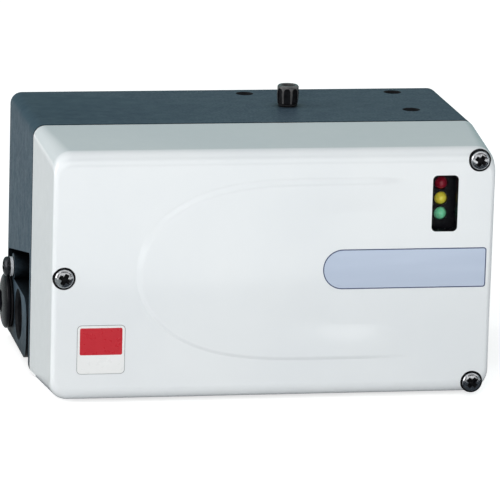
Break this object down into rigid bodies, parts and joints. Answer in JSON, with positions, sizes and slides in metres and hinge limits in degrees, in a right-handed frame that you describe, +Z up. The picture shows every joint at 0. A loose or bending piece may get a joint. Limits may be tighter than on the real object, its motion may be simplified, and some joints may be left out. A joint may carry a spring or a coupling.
{
  "type": "valve positioner",
  "caption": "Boxy valve positioner: slate cast housing, white lift-off cover with status lamps, conduit entries on the left, air ports on the right and a feedback shaft at the rear.",
  "frame": {"origin": "centre of the housing's flat bottom, halfway between its joint plane and its rear face", "axes": "+X to the right as seen from the front, +Y to the rear along the feedback shaft, +Z up; the cover faces -Y"},
  "size_m": [0.1946, 0.1439, 0.1182],
  "materials": {
    "housing_paint": "satin",
    "cover_paint": "gloss",
    "seal_rubber": "matte",
    "bright_steel": "polished",
    "dark_steel": "satin",
    "black_plastic": "satin",
    "window_pane": "gloss",
    "red_lens": "gloss",
    "yellow_lens": "gloss",
    "green_lens": "gloss",
    "bronze": "satin",
    "white_nylon": "satin",
    "circuit_board": "satin",
    "terminal_plastic": "satin",
    "switch_plastic": "satin",
    "machined_aluminium": "satin",
    "wire_mesh": "satin"
  },
  "bodies": {
    "base": {"housing": "housing_paint", "cover_gasket": "seal_rubber", "vent_cap": "black_plastic", "vent_seal": "seal_rubber", "conduit_plug": "black_plastic", "conduit_plug_seal": "seal_rubber", "ground_screw": "dark_steel", "ground_washer": "bright_steel", "shaft_bush_front": "bronze", "shaft_bush_rear": "bronze", "shaft_seal": "seal_rubber", "position_sensor": "black_plastic", "sensor_bracket": "bright_steel", "main_board": "circuit_board", "board_shield": "black_plastic", "terminal_block": "terminal_plastic", "dip_switch_body": "switch_plastic", "gain_selector_body": "switch_plastic", "quick_cal_switch": "black_plastic", "jog_up_switch": "black_plastic", "jog_down_switch": "black_plastic", "lamp_holder": "black_plastic", "lamp_red": "red_lens", "lamp_yellow": "yellow_lens", "lamp_green": "green_lens", "supply_screen": "wire_mesh", "output_1_screen": "wire_mesh", "output_2_screen": "wire_mesh", "air_manifold": "machined_aluminium", "spool_valve_body": "machined_aluminium", "spool_end_cap": "black_plastic", "pressure_converter": "black_plastic", "pressure_regulator": "machined_aluminium", "pressure_sensor_board": "circuit_board"},
    "cover_group": {"cover": "cover_paint", "status_window": "window_pane", "cover_screw_upper": "bright_steel", "cover_screw_lower": "bright_steel", "cover_screw_left": "bright_steel"},
    "shaft_group": {"feedback_shaft": "bright_steel", "shaft_retaining_ring": "bright_steel", "shaft_lock_washer": "bright_steel", "shaft_nut": "bright_steel", "sector_gear": "white_nylon"},
    "sensor_rotor": {"sensor_shaft": "bright_steel", "sensor_pinion": "white_nylon"},
    "slider_1": {"dip_slider_1": "white_nylon"},
    "slider_2": {"dip_slider_2": "white_nylon"},
    "slider_3": {"dip_slider_3": "white_nylon"},
    "slider_4": {"dip_slider_4": "white_nylon"},
    "slider_5": {"dip_slider_5": "white_nylon"},
    "slider_6": {"dip_slider_6": "white_nylon"},
    "gain_rotor": {"gain_selector_rotor": "white_nylon"},
    "quick_cal": {"quick_cal_button": "white_nylon"},
    "jog_up": {"jog_up_button": "white_nylon"},
    "jog_down": {"jog_down_button": "white_nylon"},
    "spool": {"valve_spool": "bright_steel"}
  },
  "joints": [
    {"name": "cover_lift_off", "type": "slide", "parent": "base", "child": "cover_group", "axis": [0, -1, 0], "range_m": [0, 0.09]},
    {"name": "shaft_turn", "type": "hinge", "parent": "base", "child": "shaft_group", "pos_m": [0, 0.036, 0.0545], "axis": [0, 1, 0], "range_deg": [-60, 60]},
    {"name": "sensor_turn", "type": "hinge", "parent": "base", "child": "sensor_rotor", "pos_m": [-0.03015, 0.0002, 0.0545], "axis": [0, 1, 0], "range_deg": [-170, 170]},
    {"name": "dip_1_slide", "type": "slide", "parent": "base", "child": "slider_1", "axis": [0, 0, 1], "range_m": [0, 0.0016]},
    {"name": "dip_2_slide", "type": "slide", "parent": "base", "child": "slider_2", "axis": [0, 0, 1], "range_m": [0, 0.0016]},
    {"name": "dip_3_slide", "type": "slide", "parent": "base", "child": "slider_3", "axis": [0, 0, 1], "range_m": [0, 0.0016]},
    {"name": "dip_4_slide", "type": "slide", "parent": "base", "child": "slider_4", "axis": [0, 0, 1], "range_m": [0, 0.0016]},
    {"name": "dip_5_slide", "type": "slide", "parent": "base", "child": "slider_5", "axis": [0, 0, 1], "range_m": [0, 0.0016]},
    {"name": "dip_6_slide", "type": "slide", "parent": "base", "child": "slider_6", "axis": [0, 0, 1], "range_m": [0, 0.0016]},
    {"name": "gain_turn", "type": "hinge", "parent": "base", "child": "gain_rotor", "pos_m": [-0.0135, -0.0398, 0.087], "axis": [0, 1, 0], "range_deg": [-157.5, 157.5]},
    {"name": "quick_cal_press", "type": "slide", "parent": "base", "child": "quick_cal", "axis": [0, 1, 0], "range_m": [0, 0.0005], "stiffness_N_per_m": 1500},
    {"name": "jog_up_press", "type": "slide", "parent": "base", "child": "jog_up", "axis": [0, 1, 0], "range_m": [0, 0.0005], "stiffness_N_per_m": 1500},
    {"name": "jog_down_press", "type": "slide", "parent": "base", "child": "jog_down", "axis": [0, 1, 0], "range_m": [0, 0.0005], "stiffness_N_per_m": 1500},
    {"name": "spool_shift", "type": "slide", "parent": "base", "child": "spool", "axis": [0, 0, 1], "range_m": [-0.0008, 0.0008], "stiffness_N_per_m": 1500}
  ],
  "couplings": [
    {"joint": "sensor_turn", "follows": "shaft_turn", "ratio": -2.75}
  ]
}
